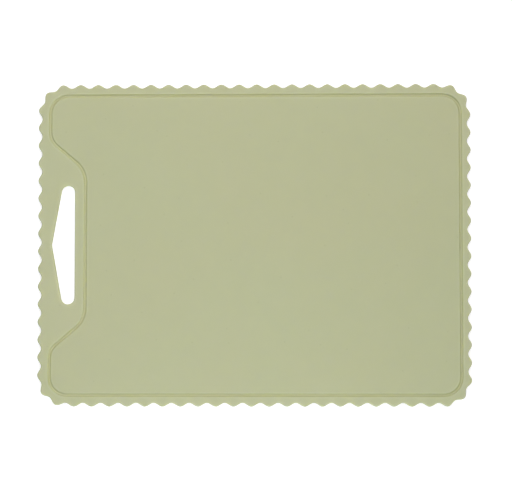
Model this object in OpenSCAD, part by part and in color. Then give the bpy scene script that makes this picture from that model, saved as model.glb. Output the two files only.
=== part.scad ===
// Silicone cutting board: one moulded sheet with a waved rim, a juice groove and a hand hole.
// The origin is the middle of the underside, +X points away from the hand hole and +Z points up.
// Loops of points run clockwise seen from above, so a loop grows when it moves to its left.

/* [Sheet] */
// Length of the board over the crests of the waves
board_length = 350; // [310:1:420]
// Width of the board over the crests of the waves
board_width = 260.7; // [230:0.1:320]
// Thickness of the sheet
board_thickness = 4; // [3:0.1:8]
// Corner radius of the line midway between crests and troughs
corner_radius = 21; // [16:0.5:30]
// Radius of the rounded upper edge, on the rim and on the hand hole
edge_radius = 1.2; // [0.6:0.1:1.4]
// Size of the softened lower edge, on the rim and on the hand hole
foot_softening = 0.5; // [0.2:0.1:0.8]

/* [Waved rim] */
// Number of waves round the rim
wave_count = 82; // [60:1:92]
// Depth of a wave from crest to trough
wave_depth = 3; // [1:0.1:4]
// Distance of the first crest past the middle of the corner at -X +Y
wave_shift = -0.57; // [-7:0.01:7]

/* [Juice groove] */
// Width of the groove over its rounded lips
groove_width = 3.2; // [2.4:0.1:6]
// Depth of the groove
groove_depth = 1.1; // [0.6:0.1:1.4]
// Radius of the rounded lips
lip_radius = 0.4; // [0.2:0.1:0.8]
// Distance of the groove's middle from the end with the hand hole
groove_handle_inset = 9.8; // [8:0.1:14]
// Distance of the groove's middle from the far end
groove_far_inset = 8.3; // [8:0.1:14]
// Distance of the groove's middle from the long sides
groove_side_inset = 9.2; // [8:0.1:14]
// Radius of the groove's middle at the four corners of the board
groove_corner_radius = 14.5; // [8:0.5:20]

/* [Grip bay] */
// Distance of the groove's middle from the handle end where it passes the hand hole
bay_depth = 38.4; // [36:0.1:50]
// Length of the bay where the groove leaves the end run
bay_mouth_length = 169.8; // [160:0.1:180]
// Length of the bay where the groove meets the run past the hand hole
bay_floor_length = 121.7; // [115:0.1:130]
// Radius of the groove's middle where it leaves the end run
bay_mouth_radius = 15; // [8:0.5:20]
// Radius of the groove's middle where it meets the run past the hand hole
bay_floor_radius = 21.5; // [12:0.5:25]

/* [Hand hole] */
// Length of the hole across the board
hole_length = 96; // [85:0.5:105]
// Width of the hole from its peak to its straight side
hole_width = 18.6; // [15:0.1:20]
// Distance of the peak from the handle end
hole_inset = 11.2; // [10:0.1:14]
// Radius of the hole's two ends
hole_end_radius = 5.5; // [4:0.1:7]
// Radius of the hole's peak
hole_peak_radius = 7.3; // [3:0.1:20]

/* [Hidden] */

silicone_green = [0.722, 0.733, 0.592];

// How finely curves are drawn
steps_per_wave = 10;
edge_steps = 2;
lip_steps = 2;
floor_steps = 6;
arc_step = 10;
// How far a cutter reaches past the face that it cuts
overrun = 1;

// The waves follow a rounded rectangle, the mid-line. Its straight runs and corners are walked from
// the middle of the corner at -X +Y, and the table gives, at the end of each, the distance walked,
// the angle of the outward normal and the centre that the corner radius turns about.
centre_x = (board_length - wave_depth) / 2 - corner_radius;
centre_y = (board_width - wave_depth) / 2 - corner_radius;
corner_walk = PI * corner_radius / 2;
half_walk = 2 * (corner_walk + centre_x + centre_y);
mid_line = [for (half = [0, 1])
    let (side = 1 - 2 * half, from = half * half_walk, turned = 180 * half)
    each [
        [from, 135 - turned, -side * centre_x, side * centre_y],
        [from + corner_walk / 2, 90 - turned, -side * centre_x, side * centre_y],
        [from + corner_walk / 2 + 2 * centre_x, 90 - turned, side * centre_x, side * centre_y],
        [from + corner_walk * 3 / 2 + 2 * centre_x, -turned, side * centre_x, side * centre_y],
        [from + half_walk - corner_walk / 2, -turned, side * centre_x, -side * centre_y],
        [from + half_walk, -45 - turned, side * centre_x, -side * centre_y]
    ]];
perimeter = 2 * half_walk;
wave_pitch = perimeter / wave_count;

// Stations crowd towards the crests and troughs, where the outline bends most
crowding = 12;
phases = [for (i = [0 : steps_per_wave - 1])
    let (even = 360 * i / steps_per_wave) even - crowding * sin(2 * even)];
rim = [for (wave = [0 : wave_count - 1], phase = phases)
    mid_line_point(wave_shift + wave_pitch * (wave + phase / 360), wave_depth / 2 * cos(phase))];

// One point for each wave, inside its trough, that the flat faces are spanned from
anchors = [for (wave = [0 : wave_count - 1])
    mid_line_point(wave_shift + wave_pitch * (wave + 1 / 2), -corner_radius / 2)];

// Section of every free edge, from the underside up, as the distance inwards and the height
edge_section = concat(
    [[foot_softening, 0], [0, foot_softening]],
    [for (i = [0 : edge_steps])
        let (a = 90 * i / edge_steps)
        [edge_radius * (1 - cos(a)), board_thickness - edge_radius * (1 - sin(a))]]
);

// Section of the groove, from its inner side outwards. Each lip and the round floor are arcs that
// meet without a kink, so the radii and the slope where they meet follow from width and depth.
reach = (groove_width * groove_width / 4 + groove_depth * groove_depth) / (2 * groove_depth);
floor_radius = reach - lip_radius;
meeting_slope = atan2(groove_width / 2, reach - groove_depth);
lip_section = [for (i = [0 : lip_steps - 1])
    let (a = meeting_slope * i / lip_steps)
    [lip_radius * sin(a) - groove_width / 2, board_thickness - lip_radius * (1 - cos(a))]];
floor_section = [for (i = [0 : floor_steps])
    let (a = meeting_slope * (2 * i / floor_steps - 1))
    [floor_radius * sin(a), board_thickness - groove_depth + floor_radius * (1 - cos(a))]];
groove_section = concat(
    [[-groove_width / 2, board_thickness + overrun]],
    lip_section,
    floor_section,
    [for (i = [lip_steps - 1 : -1 : 0]) [-lip_section[i].x, lip_section[i].y]],
    [[groove_width / 2, board_thickness + overrun]]
);

// Corners of the groove's middle, each with its radius
handle_x = groove_handle_inset - board_length / 2;
far_x = board_length / 2 - groove_far_inset;
side_y = board_width / 2 - groove_side_inset;
bay_x = bay_depth - board_length / 2;
groove_corners = [
    [handle_x, side_y, groove_corner_radius],
    [far_x, side_y, groove_corner_radius],
    [far_x, -side_y, groove_corner_radius],
    [handle_x, -side_y, groove_corner_radius],
    [handle_x, -bay_mouth_length / 2, bay_mouth_radius],
    [bay_x, -bay_floor_length / 2, bay_floor_radius],
    [bay_x, bay_floor_length / 2, bay_floor_radius],
    [handle_x, bay_mouth_length / 2, bay_mouth_radius]
];
groove_arcs = [for (i = [0 : len(groove_corners) - 1])
    corner_arc(around(groove_corners, i - 1), groove_corners[i], around(groove_corners, i + 1))];

// The hand hole is what a band round three circles encloses: one at each end, one at the peak
peak_x = hole_inset - board_length / 2;
peak_centre = [peak_x + hole_peak_radius, 0];
end_centre = [peak_x + hole_width - hole_end_radius, hole_length / 2 - hole_end_radius];
to_end = end_centre - peak_centre;
lean = atan2(to_end.x, to_end.y) + asin((hole_peak_radius - hole_end_radius) / norm(to_end));
hole_arcs = [
    [peak_centre, hole_peak_radius, 180 + lean, 180 - lean],
    [end_centre, hole_end_radius, 180 - lean, 0],
    [[end_centre.x, -end_centre.y], hole_end_radius, 0, lean - 180]
];

function towards(angle) = [cos(angle), sin(angle)];
function at_height(loop, z) = [for (p = loop) [p.x, p.y, z]];
function around(list, i) = list[(i + len(list)) % len(list)];

// Point of the mid-line at a distance along it, moved outwards
function mid_line_point(distance, out) =
    let (
        s = distance < 0 ? distance + perimeter : distance,
        angle = lookup(s, [for (m = mid_line) [m[0], m[1]]]),
        centre = [lookup(s, [for (m = mid_line) [m[0], m[2]]]), lookup(s, [for (m = mid_line) [m[0], m[3]]])]
    ) centre + (corner_radius + out) * towards(angle);

// A loop moved inwards, each point square to the line through its two neighbours
function inset(loop, distance) = [for (i = [0 : len(loop) - 1])
    let (along = around(loop, i + 1) - around(loop, i - 1))
    loop[i] + distance / norm(along) * [along.y, -along.x]];

// Arc that rounds a corner, as its centre, radius, first normal and last normal. The radius is
// negative where the loop turns to its left.
function corner_arc(before, corner, after) =
    let (
        heading = atan2(corner.y - before.y, corner.x - before.x),
        full_turn = atan2(after.y - corner.y, after.x - corner.x) - heading,
        turn = full_turn - 360 * round(full_turn / 360),
        side = sign(turn),
        start = [corner.x, corner.y] - corner.z * tan(abs(turn) / 2) * towards(heading),
        centre = start + corner.z * towards(heading + 90 * side)
    ) [centre, -side * corner.z, heading + 90, heading + 90 + turn];

// Loop through a list of arcs, with straight runs between them, moved outwards
function arc_loop(arcs, out) = [for (arc = arcs)
    let (steps = ceil(abs(arc[3] - arc[2]) / arc_step))
    for (i = [0 : steps]) arc[0] + (arc[1] + out) * towards(arc[2] + (arc[3] - arc[2]) * i / steps)];

// Triangles between two loops, the second one above or inside the first. Where one loop has fewer
// points than the other, it has a whole fraction of them.
function strip(first, count, next_first, next_count) =
    let (steps = max(count, next_count))
    [for (i = [0 : steps - 1])
        let (
            a = floor(i * count / steps),
            b = floor((i + 1) * count / steps) % count,
            c = floor((i + 1) * next_count / steps) % next_count,
            d = floor(i * next_count / steps)
        )
        each concat(
            a == b ? [] : [[first + a, first + b, next_first + c]],
            c == d ? [] : [[first + a, next_first + c, next_first + d]]
        )];

// Solid with a skin over a stack of loops. It is closed by a loop of one point at each end, or by
// joining the last loop to the first.
module skin(loops, joined = false) {
    firsts = [for (i = 0, n = 0; i < len(loops); n = n + len(loops[i]), i = i + 1) n];
    polyhedron(
        points = [for (loop = loops) each loop],
        faces = [for (i = [0 : len(loops) - (joined ? 1 : 2)])
            let (j = (i + 1) % len(loops))
            each strip(firsts[i], len(loops[i]), firsts[j], len(loops[j]))]
    );
}

// Waved sheet with its rounded edge all round
module sheet() {
    skin(concat(
        [[[0, 0, 0]], at_height(anchors, 0)],
        [for (p = edge_section) at_height(inset(rim, p.x), p.y)],
        [at_height(anchors, board_thickness), [[0, 0, board_thickness]]]
    ));
}

// Cutter for the hand hole, which flares at both faces by the section of the rim
module hand_hole() {
    below = -overrun;
    above = board_thickness + overrun;
    middle = [end_centre.x, 0];
    skin(concat(
        [at_height([middle], below), at_height(arc_loop(hole_arcs, foot_softening), below)],
        [for (p = edge_section) at_height(arc_loop(hole_arcs, p.x), p.y)],
        [at_height(arc_loop(hole_arcs, edge_radius), above), at_height([middle], above)]
    ));
}

// Cutter for the juice groove, which runs round the board and steps in past the hand hole
module juice_groove() {
    skin([for (p = groove_section) at_height(arc_loop(groove_arcs, p.x), p.y)], joined = true);
}

// The whole board is one piece of silicone
module board() {
    color(silicone_green)
    difference() {
        difference() {
            sheet();
            hand_hole();
        }
        juice_groove();
    }
}

board();
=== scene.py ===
"""Looks of a silicone cutting board: a sheet with a waved rim, a juice groove and a hand hole.

Sizes are in metres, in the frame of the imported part: the origin is the middle of the underside, +X
points away from the hand hole and +Z points up. Paths run clockwise seen from above, so a path grows
when it moves to its left.
"""

import logging
import math
from collections.abc import Callable
from dataclasses import dataclass
from enum import Enum

import bmesh
import bpy
from mathutils import Matrix, Vector


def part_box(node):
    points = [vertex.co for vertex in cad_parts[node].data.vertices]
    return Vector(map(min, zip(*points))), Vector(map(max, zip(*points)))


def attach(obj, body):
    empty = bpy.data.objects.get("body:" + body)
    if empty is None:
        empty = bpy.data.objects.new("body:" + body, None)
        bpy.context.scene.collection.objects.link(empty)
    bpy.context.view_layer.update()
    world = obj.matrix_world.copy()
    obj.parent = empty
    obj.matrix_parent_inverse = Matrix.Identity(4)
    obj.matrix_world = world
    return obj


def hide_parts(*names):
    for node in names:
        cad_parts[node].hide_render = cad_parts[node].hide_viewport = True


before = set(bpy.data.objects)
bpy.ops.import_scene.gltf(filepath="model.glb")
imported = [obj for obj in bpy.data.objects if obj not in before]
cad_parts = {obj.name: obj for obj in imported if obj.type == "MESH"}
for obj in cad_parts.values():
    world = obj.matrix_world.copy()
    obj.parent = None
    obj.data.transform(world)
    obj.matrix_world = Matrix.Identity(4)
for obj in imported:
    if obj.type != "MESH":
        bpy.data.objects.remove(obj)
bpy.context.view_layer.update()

MM = 0.001
# Painted shade: the tone on steep walls of the groove.
SHADED_WALL_TONE = 0.5
# Painted highlight: the tone where the colour turns paler, at lips and on the border.
HIGHLIGHT_TONE = -0.3
# Painted glow: the faint tone of the border round the face.
BORDER_GLOW_TONE = -0.08
log = logging.getLogger("cutting_board")

Colour = tuple[float, float, float]


def towards(angle: float) -> Vector:
    """Flat unit vector at an angle from +X."""
    return Vector((math.cos(angle), math.sin(angle)))


@dataclass(frozen=True)
class Arc:
    """A turn of a path about one centre, between two angles of the outward normal.

    The radius is negative where the path turns to its left.
    """

    centre: Vector
    radius: float
    first: float
    last: float

    def length(self) -> float:
        """Length of the arc."""
        return abs(self.radius * (self.last - self.first))

    def point(self, share: float, out: float) -> Vector:
        """Point of the arc.

        Args:
            share: How far along the arc, from 0 to 1.
            out: Distance that the path is moved outwards.

        Returns:
            The flat place of the point.
        """
        angle = self.first + share * (self.last - self.first)
        return self.centre + (self.radius + out) * towards(angle)


@dataclass(frozen=True)
class Path:
    """A closed clockwise path of arcs that straight runs join."""

    arcs: tuple[Arc, ...]

    def loop(self, out: float, step: float) -> list[Vector]:
        """Points on the arcs, which is all that the straight runs need.

        Args:
            out: Distance that the path is moved outwards.
            step: Largest angle between two points of an arc.

        Returns:
            The points in order.
        """
        points = []
        for arc in self.arcs:
            steps = math.ceil(abs(arc.last - arc.first) / step)
            points += [arc.point(i / steps, out) for i in range(steps + 1)]
        return points

    def length(self) -> float:
        """Length of the whole path."""
        return sum(arc.length() + run for arc, run in zip(self.arcs, self._runs()))

    def point_at(self, distance: float, out: float) -> Vector:
        """Point of the path at a distance along it.

        Args:
            distance: Distance from the start of the first arc.
            out: Distance that the point is moved outwards.

        Returns:
            The flat place of the point.
        """
        left = distance % self.length()
        for arc, run in zip(self.arcs, self._runs()):
            if left <= arc.length():
                return arc.point(left / arc.length(), out)
            left -= arc.length()
            if left <= run:
                along = towards(arc.last - math.pi / 2)
                return arc.point(1.0, out) + left * along
            left -= run
        return self.arcs[0].point(0.0, out)

    def _runs(self) -> list[float]:
        """Length of the straight run after each arc."""
        onward = self.arcs[1:] + self.arcs[:1]
        return [(b.point(0, 0) - a.point(1, 0)).length for a, b in zip(self.arcs, onward)]


def rounded_corner(before: Vector, corner: Vector, after: Vector, radius: float) -> Arc:
    """Arc that rounds one corner of a path.

    Args:
        before: The corner before it.
        corner: The sharp corner.
        after: The corner after it.
        radius: Radius of the rounding.

    Returns:
        The arc, with a negative radius where the path turns to its left.
    """
    heading = math.atan2(*(corner - before).yx)
    full_turn = math.atan2(*(after - corner).yx) - heading
    turn = math.remainder(full_turn, 2 * math.pi)
    side = math.copysign(1.0, turn)
    start = corner - radius * math.tan(abs(turn) / 2) * towards(heading)
    centre = start + radius * towards(heading + side * math.pi / 2)
    first = heading + math.pi / 2
    return Arc(centre, -side * radius, first, first + turn)


@dataclass(frozen=True)
class Level:
    """One loop of a section: how far out it lies, how high, and its tone.

    The tone is 0 on the plain face. It runs through the wall's tone, painted shade on a steep wall,
    to 1, painted bounce light on the groove's floor, and through the highlight's tone, a painted
    highlight, down to -1, a painted glow that stands for light shining out of the silicone.
    """

    out: float
    height: float
    tone: float = 0.0


Ring = list[bmesh.types.BMVert]


class LoopSkin:
    """A closed surface that is grown loop by loop in one bmesh."""

    def __init__(self) -> None:
        """Starts with an empty mesh, whose vertices can hold a tone: painted shade, highlight and
        glow.
        """
        self.mesh = bmesh.new()
        self.tone = self.mesh.verts.layers.float.new("tone")

    def wall(self, levels: list[Level], loop_at: Callable[[float], list[Vector]]) -> list[Ring]:
        """Grows one wall.

        Args:
            levels: Its section, from its first loop to its last.
            loop_at: Gives the flat places of a loop, clockwise, for a distance outwards.

        Returns:
            The rings of vertices, one for each level.
        """
        rings = [self._start(loop_at(levels[0].out), levels[0])]
        for level in levels[1:]:
            rings.append(self._extend(rings[-1], loop_at(level.out), level))
        return rings

    def wall_along(self, levels: list[Level], path: Path, step: float) -> list[Ring]:
        """Grows one wall along a path of arcs, with points that a step in angle parts at most."""
        return self.wall(levels, lambda out: path.loop(out, step))

    def fill(self, *rings: Ring) -> None:
        """Fills the flat region that rings enclose, with a hole for each inner ring."""
        edges = [edge for ring in rings for edge in self._edges(ring)]
        bmesh.ops.triangle_fill(self.mesh, edges=edges, use_beauty=True, normal=(0, 0, 1))

    def finish(self, name: str) -> bpy.types.Object:
        """Turns the bmesh into a smooth object.

        Args:
            name: Name of the object and of its mesh.

        Returns:
            The object, linked to the scene.
        """
        bmesh.ops.recalc_face_normals(self.mesh, faces=self.mesh.faces)
        for face in self.mesh.faces:
            face.smooth = True
        data = bpy.data.meshes.new(name)
        self.mesh.to_mesh(data)
        self.mesh.free()
        piece = bpy.data.objects.new(name, data)
        bpy.context.scene.collection.objects.link(piece)
        return piece

    def _start(self, loop: list[Vector], level: Level) -> Ring:
        """Makes the first ring of a wall.

        Args:
            loop: The flat places of its vertices, clockwise.
            level: Its height and its tone.

        Returns:
            The ring.
        """
        made = bmesh.ops.create_circle(self.mesh, cap_ends=False, radius=1.0, segments=len(loop))
        ring = sorted(made["verts"], key=lambda vert: -math.atan2(vert.co.y, vert.co.x))
        return self._place(ring, loop, level)

    def _extend(self, ring: Ring, loop: list[Vector], level: Level) -> Ring:
        """Extrudes the edges of a ring to the next ring of its wall.

        Args:
            ring: The last ring so far.
            loop: The flat places of the new vertices, clockwise.
            level: Their height and their tone.

        Returns:
            The new ring.
        """
        made = bmesh.ops.extrude_edge_only(self.mesh, edges=self._edges(ring))
        fresh = {item for item in made["geom"] if isinstance(item, bmesh.types.BMVert)}
        onward = []
        for vert in ring:
            ends = [edge.other_vert(vert) for edge in vert.link_edges]
            onward.append(next(end for end in ends if end in fresh))
        return self._place(onward, loop, level)

    def _place(self, ring: Ring, loop: list[Vector], level: Level) -> Ring:
        """Moves a ring to its places, and gives it its tone.

        Args:
            ring: The ring.
            loop: The flat places of its vertices, in the same order.
            level: Its height and its tone.

        Returns:
            The same ring.
        """
        for vert, place in zip(ring, loop, strict=True):
            vert.co = (place.x, place.y, level.height)
            vert[self.tone] = level.tone
        return ring

    def _edges(self, ring: Ring) -> list[bmesh.types.BMEdge]:
        """The edges between neighbours of a ring."""
        return [self.mesh.edges.get((a, b)) for a, b in zip(ring, ring[1:] + ring[:1])]


@dataclass(frozen=True)
class FreeEdge:
    """Section of the rim and of the hand hole's edge: softened below, rounded above.

    A painted glow stands for light that shines out of its wall, and fades over the rounding and the
    glow's reach on the face.
    """

    thickness: float
    glow: float
    glow_reach: float
    wall_glow: float = 0.7
    border_glow_tone: float = BORDER_GLOW_TONE
    upper_radius: float = 1.2 * MM
    lower_radius: float = 0.5 * MM
    lower_margin: float = 0.3 * MM
    upper_steps: int = 8
    lower_steps: int = 4

    def section(self) -> list[Level]:
        """The edge's section, with distances that go into the silicone.

        Returns:
            The levels, from the underside up.
        """
        levels = [Level(self.lower_radius + self.lower_margin, 0.0)]
        for i in range(self.lower_steps + 1):
            turn = math.pi / 2 * i / self.lower_steps
            depth, rise = 1 - math.sin(turn), 1 - math.cos(turn)
            # Painted glow that grows up the lower rounding to full on the wall.
            tone = -self.wall_glow * rise
            levels.append(Level(self.lower_radius * depth, self.lower_radius * rise, tone))
        for i in range(self.upper_steps + 1):
            turn = math.pi / 2 * i / self.upper_steps
            depth, drop = 1 - math.cos(turn), 1 - math.sin(turn)
            height = self.thickness - self.upper_radius * drop
            # Painted glow that fades from the wall over the upper rounding.
            tone = -self.glow - (self.wall_glow - self.glow) * drop**2
            levels.append(Level(self.upper_radius * depth, height, tone))
        # The face beyond the rounding keeps the border's faint painted glow.
        inner_edge = Level(self.upper_radius + self.glow_reach, self.thickness, self.border_glow_tone)
        return [*levels, inner_edge]


@dataclass(frozen=True)
class WavedRim:
    """Outline of the board: even waves that follow a rounded rectangle."""

    length: float
    width: float
    corner_radius: float = 21 * MM
    wave_count: int = 82
    wave_depth: float = 3 * MM
    wave_shift: float = -0.57 * MM
    steps_per_wave: int = 20

    def mid_line(self) -> Path:
        """The line midway between crests and troughs.

        Returns:
            The path, which starts at the middle of the corner at -X +Y.
        """
        x = (self.length - self.wave_depth) / 2 - self.corner_radius
        y = (self.width - self.wave_depth) / 2 - self.corner_radius
        quarter = math.pi / 2
        turns = [
            (-x, y, 1.5 * quarter, quarter),
            (x, y, quarter, 0.0),
            (x, -y, 0.0, -quarter),
            (-x, -y, -quarter, -2 * quarter),
            (-x, y, -2 * quarter, -2.5 * quarter),
        ]
        return Path(tuple(Arc(Vector((cx, cy)), self.corner_radius, a, b) for cx, cy, a, b in turns))

    def outline(self) -> list[Vector]:
        """The waved line of the rim.

        Returns:
            Points along its crests and troughs, clockwise.
        """
        line = self.mid_line()
        total = self.wave_count * self.steps_per_wave
        pitch = line.length() / self.wave_count
        points = []
        for i in range(total):
            wave = i / self.steps_per_wave
            out = self.wave_depth / 2 * math.cos(2 * math.pi * wave)
            points.append(line.point_at(self.wave_shift + pitch * wave, out))
        return points

    def loop(self, out: float) -> list[Vector]:
        """The outline moved outwards, or inwards where the distance is negative.

        Args:
            out: How far each point moves, square to the line through its neighbours.

        Returns:
            The moved points in the same order.
        """
        outline = self.outline()
        around = zip(outline[-1:] + outline[:-1], outline, outline[1:] + outline[:1])
        moved = []
        for before, place, after in around:
            along = (after - before).normalized()
            moved.append(place + out * Vector((-along.y, along.x)))
        return moved


@dataclass(frozen=True)
class HandHole:
    """Hole through the sheet: a band round two end circles and one at its peak."""

    handle_end: float
    length: float = 96 * MM
    width: float = 18.6 * MM
    inset: float = 11.2 * MM
    end_radius: float = 5.5 * MM
    peak_radius: float = 7.3 * MM
    arc_step: float = math.radians(5)

    def path(self) -> Path:
        """The hole's outline halfway through the sheet.

        Returns:
            The path, which starts at the peak.
        """
        peak = Vector((self.handle_end + self.inset + self.peak_radius, 0))
        straight_side = self.handle_end + self.inset + self.width
        end = Vector((straight_side - self.end_radius, self.length / 2 - self.end_radius))
        reach = end - peak
        spread = math.asin((self.peak_radius - self.end_radius) / reach.length)
        lean = math.atan2(reach.x, reach.y) + spread
        return Path(
            (
                Arc(peak, self.peak_radius, math.pi + lean, math.pi - lean),
                Arc(end, self.end_radius, math.pi - lean, 0.0),
                Arc(Vector((end.x, -end.y)), self.end_radius, 0.0, lean - math.pi),
            )
        )


@dataclass(frozen=True)
class JuiceGroove:
    """Round-bottomed channel that runs round the face and steps in past the hand hole.

    From the middle of the channel to its lip, the floor's tone, painted bounce light, ends at the
    share floor_end and the wall's tone, painted shade, starts at the share wall_start. The lips
    carry a painted highlight.
    """

    length: float
    width: float
    thickness: float
    channel_width: float = 3.2 * MM
    depth: float = 1.1 * MM
    lip_radius: float = 0.4 * MM
    handle_inset: float = 9.8 * MM
    far_inset: float = 8.3 * MM
    side_inset: float = 9.2 * MM
    corner_radius: float = 14.5 * MM
    bay_depth: float = 38.4 * MM
    bay_mouth: float = 169.8 * MM
    bay_floor: float = 121.7 * MM
    bay_mouth_radius: float = 15 * MM
    bay_floor_radius: float = 21.5 * MM
    # Strength of the painted highlight on the outer and inner lips, and reach of the border's
    # painted glow beyond them.
    outer_lip_glow: float = 0.24
    inner_lip_glow: float = 0.18
    lip_width: float = 0.5 * MM
    glow_reach: float = 1.5 * MM
    floor_end: float = 0.2
    wall_start: float = 0.5
    arc_step: float = math.radians(3)
    lip_steps: int = 5
    floor_steps: int = 20

    def path(self) -> Path:
        """The middle of the channel.

        Returns:
            The path, which starts at the corner at -X +Y.
        """
        handle = self.handle_inset - self.length / 2
        far = self.length / 2 - self.far_inset
        side = self.width / 2 - self.side_inset
        bay = self.bay_depth - self.length / 2
        corners = [
            (handle, side, self.corner_radius),
            (far, side, self.corner_radius),
            (far, -side, self.corner_radius),
            (handle, -side, self.corner_radius),
            (handle, -self.bay_mouth / 2, self.bay_mouth_radius),
            (bay, -self.bay_floor / 2, self.bay_floor_radius),
            (bay, self.bay_floor / 2, self.bay_floor_radius),
            (handle, self.bay_mouth / 2, self.bay_mouth_radius),
        ]
        places = [Vector(corner[:2]) for corner in corners]
        around = zip(places[-1:] + places[:-1], places, places[1:] + places[:1], corners)
        return Path(tuple(rounded_corner(a, b, c, corner[2]) for a, b, c, corner in around))

    def section(self) -> list[Level]:
        """The channel's section.

        Returns:
            The levels, from the outer side to the inner one.
        """
        half = self.channel_width / 2
        reach = (half**2 + self.depth**2) / (2 * self.depth)
        slope = math.atan2(half, reach - self.depth)
        floor_radius = reach - self.lip_radius
        outer_lip = self._lip(half, slope, self.outer_lip_glow)
        inner_lip = self._lip(half, slope, self.inner_lip_glow)
        inner_lip = [Level(-level.out, level.height, level.tone) for level in reversed(inner_lip)]
        floor = []
        for i in range(self.floor_steps + 1):
            share = 1 - 2 * i / self.floor_steps
            rise = floor_radius * (1 - math.cos(share * slope))
            height = self.thickness - self.depth + rise
            # Painted bounce light on the floor, fading into painted shade on the walls.
            inner = (self.wall_start - abs(share)) / (self.wall_start - self.floor_end)
            tone = SHADED_WALL_TONE + (1 - SHADED_WALL_TONE) * min(1.0, max(0.0, inner))
            floor.append(Level(floor_radius * math.sin(share * slope), height, tone))
        # The border outside the groove keeps a faint painted glow.
        outer_edge = Level(half + self.glow_reach, self.thickness, BORDER_GLOW_TONE)
        inner_edge = Level(-half - self.glow_reach, self.thickness)
        return [outer_edge, *outer_lip, *floor, *inner_lip, inner_edge]

    def _lip(self, half: float, slope: float, glow: float) -> list[Level]:
        """Levels that round one lip.

        Args:
            half: Half the width of the channel.
            slope: Angle of the wall below the lip.
            glow: How strong the painted highlight on the lip is.

        Returns:
            The levels from the face down to the wall.
        """
        lip = [Level(half + self.lip_width, self.thickness, -glow)]
        for i in range(self.lip_steps):
            share = i / self.lip_steps
            inwards = self.lip_radius * math.sin(share * slope)
            drop = self.lip_radius * (1 - math.cos(share * slope))
            # Painted highlight at the lip's edge, turning into painted shade down the wall.
            tone = SHADED_WALL_TONE * share - glow * (1 - share)
            lip.append(Level(half - inwards, self.thickness - drop, tone))
        return lip


class Blend(Enum):
    """How a mix node joins two colours."""

    MIX = "MIX"
    MULTIPLY = "MULTIPLY"


Feed = bpy.types.NodeSocket | float | tuple[float, ...]


class Wiring:
    """A node tree, with short ways to add and feed its nodes."""

    def __init__(self, tree: bpy.types.NodeTree) -> None:
        """Takes the tree to work in."""
        self.tree = tree

    def node(self, kind: str, feeds: dict[str, Feed], **settings: str) -> bpy.types.Node:
        """Adds a node.

        Args:
            kind: Type of the node.
            feeds: What goes into its inputs, by name.
            settings: Its other properties.

        Returns:
            The node.
        """
        made = self.tree.nodes.new(kind)
        for key, value in settings.items():
            setattr(made, key, value)
        self.feed(made, feeds)
        return made

    def feed(self, node: bpy.types.Node, feeds: dict[str, Feed]) -> None:
        """Links or sets inputs of a node.

        Args:
            node: The node.
            feeds: A socket to link, or a value or colour to set, for each input by name.
        """
        for name, value in feeds.items():
            socket = next(put for put in node.inputs if put.name == name and put.enabled)
            if isinstance(value, bpy.types.NodeSocket):
                self.tree.links.new(value, socket)
            elif isinstance(value, tuple) and len(value) < len(socket.default_value):
                socket.default_value = (*value, 1.0)
            else:
                socket.default_value = value

    def mix(self, blend: Blend, share: Feed, first: Feed, second: Feed) -> bpy.types.NodeSocket:
        """Joins two colours.

        Args:
            blend: How they are joined.
            share: Share of the second one.
            first: The first colour.
            second: The second colour.

        Returns:
            The socket with the result.
        """
        feeds = {"Factor": share, "A": first, "B": second}
        made = self.node("ShaderNodeMix", feeds, data_type="RGBA", blend_type=blend.value)
        return next(put for put in made.outputs if put.enabled)


@dataclass(frozen=True)
class Cloud:
    """One layer of faint colour variation, between two tints."""

    size: float
    detail: float
    low_tint: Colour
    high_tint: Colour


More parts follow.
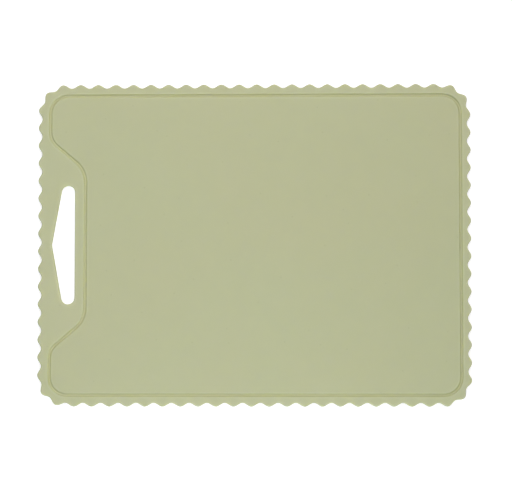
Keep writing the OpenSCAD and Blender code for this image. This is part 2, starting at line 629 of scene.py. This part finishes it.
@dataclass(frozen=True)
class Silicone:
    """Matt sage-green silicone, which light goes some way into.

    Its colour holds painted light: painted shade on steep walls and in the groove at the far end,
    painted bounce light, warmer, on the groove's floor, a painted highlight at lips and on the
    border, and a painted glow at the edges. It is faintly clouded and holds a few specks.
    """

    plain: Colour = (0.478, 0.496, 0.299)
    # Painted shade on steep walls.
    wall: Colour = (0.456, 0.474, 0.252)
    # Painted bounce light on the groove's floor, warmer and lighter than the plain colour.
    floor: Colour = (0.545, 0.553, 0.309)
    # Painted highlight on lips and on the border.
    painted_highlight: Colour = (0.503, 0.522, 0.327)
    # Painted glow at the rim's and the hand hole's edges.
    painted_glow: Colour = (0.65, 0.7, 0.31)
    # Painted shade in the groove towards the far end.
    far_groove_shade: Colour = (0.937, 0.94, 0.935)
    far_groove_span: tuple[float, float] = (105 * MM, 166 * MM)
    roughness: float = 0.6
    refraction: float = 1.41
    glow_depth: float = 3.0 * MM
    glow_reach: tuple[float, float, float] = (1.0, 1.0, 0.6)
    clouds: tuple[Cloud, ...] = (
        Cloud(110 * MM, 3.0, (1.008, 0.996, 0.996), (0.992, 1.004, 1.004)),
        Cloud(18 * MM, 4.0, (0.992, 0.994, 0.99), (1.008, 1.006, 1.01)),
    )
    cloud_span: tuple[float, float] = (0.3, 0.7)
    speck_spacing: float = 36 * MM
    speck_radius: float = 0.45 * MM
    speck_tone: float = 0.9
    grain_size: float = 0.5 * MM
    grain_height: float = 0.01 * MM

    def material(self) -> bpy.types.Material:
        """Builds the material.

        Returns:
            The material, which reads the board's Object coordinates and its tone.
        """
        made = bpy.data.materials.new("sage_silicone")
        made.use_nodes = True
        wiring = Wiring(made.node_tree)
        place = wiring.node("ShaderNodeTexCoord", {}).outputs["Object"]
        tone = wiring.node("ShaderNodeAttribute", {}, attribute_name="tone").outputs["Fac"]
        colour = self._far_groove_shaded(wiring, place, tone, self._toned(wiring, tone))
        colour = self._speckled(wiring, place, colour)
        for cloud in self.clouds:
            colour = self._clouded(wiring, place, colour, cloud)
        wiring.feed(
            made.node_tree.nodes["Principled BSDF"],
            {
                "Base Color": colour,
                "Roughness": self.roughness,
                "IOR": self.refraction,
                "Subsurface Weight": 1.0,
                "Subsurface Scale": self.glow_depth,
                "Subsurface Radius": self.glow_reach,
                "Normal": self._grain(wiring, place),
            },
        )
        return made

    def _toned(self, wiring: Wiring, tone: bpy.types.NodeSocket) -> bpy.types.NodeSocket:
        """The colour that the board's tone stands for, painted shade and glow included.

        Args:
            wiring: The material's node tree.
            tone: The tone.

        Returns:
            The socket with the colour.
        """
        share = wiring.node("ShaderNodeMapRange", {"Value": tone, "From Min": -1.0})
        ramp = wiring.node("ShaderNodeValToRGB", {"Fac": share.outputs["Result"]})
        stops = ramp.color_ramp.elements
        # Stops run from painted glow through painted highlight and the plain colour to painted
        # shade, then painted bounce light.
        for level in (HIGHLIGHT_TONE, 0.0, SHADED_WALL_TONE):
            stops.new((1 + level) / 2)
        colours = (self.painted_glow, self.painted_highlight, self.plain, self.wall, self.floor)
        for stop, colour in zip(stops, colours, strict=True):
            stop.color = (*colour, 1.0)
        return ramp.outputs["Color"]

    def _far_groove_shaded(
        self,
        wiring: Wiring,
        place: bpy.types.NodeSocket,
        tone: bpy.types.NodeSocket,
        colour: bpy.types.NodeSocket,
    ) -> bpy.types.NodeSocket:
        """A colour with painted shade that grows deeper in the groove towards the far end.

        Args:
            wiring: The material's node tree.
            place: The board's Object coordinates.
            tone: The tone, which tells the groove from the face.
            colour: The colour before.

        Returns:
            The socket with the colour.
        """
        along = wiring.node("ShaderNodeSeparateXYZ", {"Vector": place}).outputs["X"]
        start, end = self.far_groove_span
        far = wiring.node("ShaderNodeMapRange", {"Value": along, "From Min": start, "From Max": end})
        inside = {"Value": tone, "From Max": SHADED_WALL_TONE, "To Max": far.outputs["Result"]}
        share = wiring.node("ShaderNodeMapRange", inside).outputs["Result"]
        tint = wiring.mix(Blend.MIX, share, (1.0, 1.0, 1.0), self.far_groove_shade)
        return wiring.mix(Blend.MULTIPLY, 1.0, colour, tint)

    def _speckled(
        self, wiring: Wiring, place: bpy.types.NodeSocket, colour: bpy.types.NodeSocket
    ) -> bpy.types.NodeSocket:
        """A colour with a darker dot here and there.

        Args:
            wiring: The material's node tree.
            place: The board's Object coordinates.
            colour: The colour before.

        Returns:
            The socket with the colour.
        """
        scale = 1 / self.speck_spacing
        scatter = {"Vector": place, "Scale": scale}
        cells = wiring.node("ShaderNodeTexVoronoi", scatter, voronoi_dimensions="2D")
        reach = {"Value": cells.outputs["Distance"], "From Max": 2 * self.speck_radius * scale}
        clear = wiring.node("ShaderNodeMapRange", reach, interpolation_type="SMOOTHSTEP")
        dark = (self.speck_tone, self.speck_tone, self.speck_tone)
        tint = wiring.mix(Blend.MIX, clear.outputs["Result"], dark, (1.0, 1.0, 1.0))
        return wiring.mix(Blend.MULTIPLY, 1.0, colour, tint)

    def _clouded(
        self, wiring: Wiring, place: bpy.types.NodeSocket, colour: bpy.types.NodeSocket, cloud: Cloud
    ) -> bpy.types.NodeSocket:
        """A colour with one layer of clouds over it.

        Args:
            wiring: The material's node tree.
            place: The board's Object coordinates.
            colour: The colour before.
            cloud: The layer.

        Returns:
            The socket with the colour.
        """
        feeds = {"Vector": place, "Scale": 1 / cloud.size, "Detail": cloud.detail}
        noise = wiring.node("ShaderNodeTexNoise", feeds)
        low, high = self.cloud_span
        usual = {"Value": noise.outputs["Fac"], "From Min": low, "From Max": high}
        spread = wiring.node("ShaderNodeMapRange", usual)
        tint = wiring.mix(Blend.MIX, spread.outputs["Result"], cloud.low_tint, cloud.high_tint)
        return wiring.mix(Blend.MULTIPLY, 1.0, colour, tint)

    def _grain(self, wiring: Wiring, place: bpy.types.NodeSocket) -> bpy.types.NodeSocket:
        """Normals with the fine grain of the mould.

        Args:
            wiring: The material's node tree.
            place: The board's Object coordinates.

        Returns:
            The socket with the normals.
        """
        noise = wiring.node("ShaderNodeTexNoise", {"Vector": place, "Scale": 1 / self.grain_size})
        relief = {"Height": noise.outputs["Fac"], "Distance": self.grain_height}
        return wiring.node("ShaderNodeBump", relief).outputs["Normal"]


@dataclass(frozen=True)
class Board:
    """The whole cutting board, one piece of silicone."""

    low: Vector
    high: Vector
    # Strength and reach of the painted glow at the rim and at the hand hole.
    rim_glow: float = 0.14
    rim_glow_reach: float = 0.7 * MM
    hole_glow: float = 0.26
    hole_glow_reach: float = 2 * MM

    def build(self) -> bpy.types.Object:
        """Models the sheet with its rim, hand hole and groove.

        Returns:
            The board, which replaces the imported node.
        """
        size = self.high - self.low
        outline = WavedRim(size.x, size.y)
        opening = HandHole(self.low.x)
        channel = JuiceGroove(size.x, size.y, size.z)
        rim_edge = FreeEdge(size.z, self.rim_glow, self.rim_glow_reach)
        hole_edge = FreeEdge(size.z, self.hole_glow, self.hole_glow_reach)
        skin = LoopSkin()
        rim = skin.wall(rim_edge.section(), lambda depth: outline.loop(-depth))
        hole = skin.wall_along(hole_edge.section(), opening.path(), opening.arc_step)
        groove = skin.wall_along(channel.section(), channel.path(), channel.arc_step)
        skin.fill(rim[0], hole[0])
        skin.fill(rim[-1], hole[-1], groove[0])
        skin.fill(groove[-1])
        return skin.finish("silicone_board")

    def dress(self, piece: bpy.types.Object) -> None:
        """Gives the board its finish and its place in the frame.

        Args:
            piece: The board's object.
        """
        piece.data.materials.append(Silicone().material())
        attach(piece, "root")
        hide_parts("board")


@dataclass(frozen=True)
class Viewpoint:
    """Camera of the photograph, almost straight above the board."""

    place: tuple[float, float, float] = (0.0381, -0.09138, 1.504)
    target: tuple[float, float, float] = (0.0016, 0.00172, 0.004)
    lens: float = 130.98
    sensor_width: float = 36.0

    def build(self) -> None:
        """Makes the camera, level with the board's long sides, and sets it as the scene's."""
        data = bpy.data.cameras.new("camera")
        data.lens = self.lens
        data.sensor_fit = "HORIZONTAL"
        data.sensor_width = self.sensor_width
        camera = bpy.data.objects.new("camera", data)
        camera.location = self.place
        back = (Vector(self.place) - Vector(self.target)).normalized()
        right = Vector((0, 1, 0)).cross(back).normalized()
        camera.rotation_euler = Matrix((right, back.cross(right), back)).transposed().to_euler()
        bpy.context.scene.collection.objects.link(camera)
        bpy.context.scene.camera = camera


@dataclass(frozen=True)
class SoftLamp:
    """A soft round lamp that points at the board.

    Without glare it lights the board, but no glossy ray sees it.
    """

    name: str
    place: tuple[float, float, float]
    power: float
    size: float
    tint: Colour = (1.0, 1.0, 1.0)
    glare: bool = True

    def build(self) -> None:
        """Makes the lamp."""
        data = bpy.data.lights.new(self.name, "AREA")
        data.shape = "DISK"
        data.size = self.size
        data.energy = self.power
        data.color = self.tint
        lamp = bpy.data.objects.new(self.name, data)
        lamp.location = self.place
        lamp.visible_glossy = self.glare
        lamp.rotation_euler = (-Vector(self.place)).to_track_quat("-Z", "Y").to_euler()
        bpy.context.scene.collection.objects.link(lamp)
        log.info("lamp %s: %.1f W", self.name, self.power)


class Ray(Enum):
    """Kinds of ray that see the surroundings in their full white."""

    CAMERA = "Is Camera Ray"
    GLOSSY = "Is Glossy Ray"
    TRANSMISSION = "Is Transmission Ray"


def white_mask(wiring: Wiring) -> bpy.types.NodeSocket:
    """Adds nodes that give 1 for camera, glossy and transmission rays and 0 for the rest.

    Args:
        wiring: The node tree to add them to.

    Returns:
        The socket with the value.
    """
    rays = wiring.node("ShaderNodeLightPath", {}).outputs
    seen = rays[Ray.CAMERA.value]
    for ray in (Ray.GLOSSY, Ray.TRANSMISSION):
        either = wiring.node("ShaderNodeMath", {}, operation="MAXIMUM")
        wiring.tree.links.new(seen, either.inputs[0])
        wiring.tree.links.new(rays[ray.value], either.inputs[1])
        seen = either.outputs["Value"]
    return seen


@dataclass(frozen=True)
class Studio:
    """White paper floor, a little light from all round and the lamps that shade the face.

    The floor's own light, which only the white rays see, grows from floor_lift to full white over
    the distances of shadow_reach, so that the board's shadow shows near the board alone.
    """

    floor_size: float = 12.0
    floor_gap: float = 0.2 * MM
    floor_tone: float = 0.5
    floor_roughness: float = 0.9
    floor_lift: float = 0.7
    shadow_reach: tuple[float, float] = (0.3, 1.0)
    world_light: float = 0.05
    lamps: tuple[SoftLamp, ...] = (
        SoftLamp("above_handle", (-0.85, 0.0, 1.81), 5.3, 0.9),
        SoftLamp("far_side", (0.0, 1.49, 1.34), 9.0, 0.9, (1.0, 0.97, 0.97)),
        SoftLamp("far_end", (1.49, 0.0, 1.34), 12.1, 0.9, (1.0, 0.98, 0.97)),
        SoftLamp("close_middle", (0.0, 0.0, 0.8), 0.48, 0.3, (1.0, 0.945, 0.91)),
        SoftLamp("close_far_side", (0.0, 0.5, 0.6), 1.45, 0.3, (1.0, 0.95, 0.935)),
        SoftLamp("close_handle", (-0.5, 0.0, 0.6), 1.03, 0.3, (0.91, 0.94, 1.0)),
        SoftLamp("close_near_side", (0.0, -0.45, 0.3), 0.88, 0.2, (0.855, 0.935, 1.0)),
        SoftLamp("low_near_side", (0.0, -1.99, 0.25), 10.0, 0.4, (0.84, 0.92, 1.0), glare=False),
    )

    def build(self) -> None:
        """Makes the floor, the world and the lamps."""
        self._floor()
        self._world()
        for lamp in self.lamps:
            lamp.build()

    def _floor(self) -> None:
        """Pale floor that the camera sees as white, with the board's shadow."""
        mesh = bmesh.new()
        bmesh.ops.create_grid(mesh, x_segments=1, y_segments=1, size=self.floor_size / 2)
        bmesh.ops.translate(mesh, verts=mesh.verts, vec=(0, 0, -self.floor_gap))
        data = bpy.data.meshes.new("floor")
        mesh.to_mesh(data)
        mesh.free()
        floor = bpy.data.objects.new("floor", data)
        bpy.context.scene.collection.objects.link(floor)
        paper = bpy.data.materials.new("white_paper")
        paper.use_nodes = True
        wiring = Wiring(paper.node_tree)
        place = wiring.node("ShaderNodeTexCoord", {}).outputs["Object"]
        distance = wiring.node("ShaderNodeVectorMath", {"Vector": place}, operation="LENGTH")
        near, far = self.shadow_reach
        ends = {"From Min": near, "From Max": far, "To Min": self.floor_lift, "To Max": 1.0}
        spread = wiring.node("ShaderNodeMapRange", {"Value": distance.outputs["Value"], **ends})
        levels = {"Value": white_mask(wiring), "To Max": spread.outputs["Result"]}
        lift = wiring.node("ShaderNodeMapRange", levels)
        wiring.feed(
            paper.node_tree.nodes["Principled BSDF"],
            {
                "Base Color": (self.floor_tone, self.floor_tone, self.floor_tone),
                "Roughness": self.floor_roughness,
                "Specular IOR Level": 0.0,
                "Emission Color": (1.0, 1.0, 1.0),
                "Emission Strength": lift.outputs["Result"],
            },
        )
        data.materials.append(paper)
        log.info("floor: %.0f m square", self.floor_size)

    def _world(self) -> None:
        """Soft light from all round, which the camera sees as white."""
        world = bpy.data.worlds.new("studio")
        world.use_nodes = True
        wiring = Wiring(world.node_tree)
        levels = {"Value": white_mask(wiring), "To Min": self.world_light, "To Max": 1.0}
        strength = wiring.node("ShaderNodeMapRange", levels).outputs["Result"]
        light = {"Color": (1.0, 1.0, 1.0), "Strength": strength}
        wiring.feed(world.node_tree.nodes["Background"], light)
        bpy.context.scene.world = world


def main() -> None:
    """Builds the camera, the board and the studio."""
    logging.basicConfig(level=logging.INFO, format="%(name)s: %(message)s")
    bpy.context.scene.view_settings.view_transform = "Standard"
    Viewpoint().build()
    board = Board(*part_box("board"))
    piece = board.build()
    board.dress(piece)
    log.info("%s: %d faces", piece.name, len(piece.data.polygons))
    Studio().build()


if __name__ == "__main__":
    main()
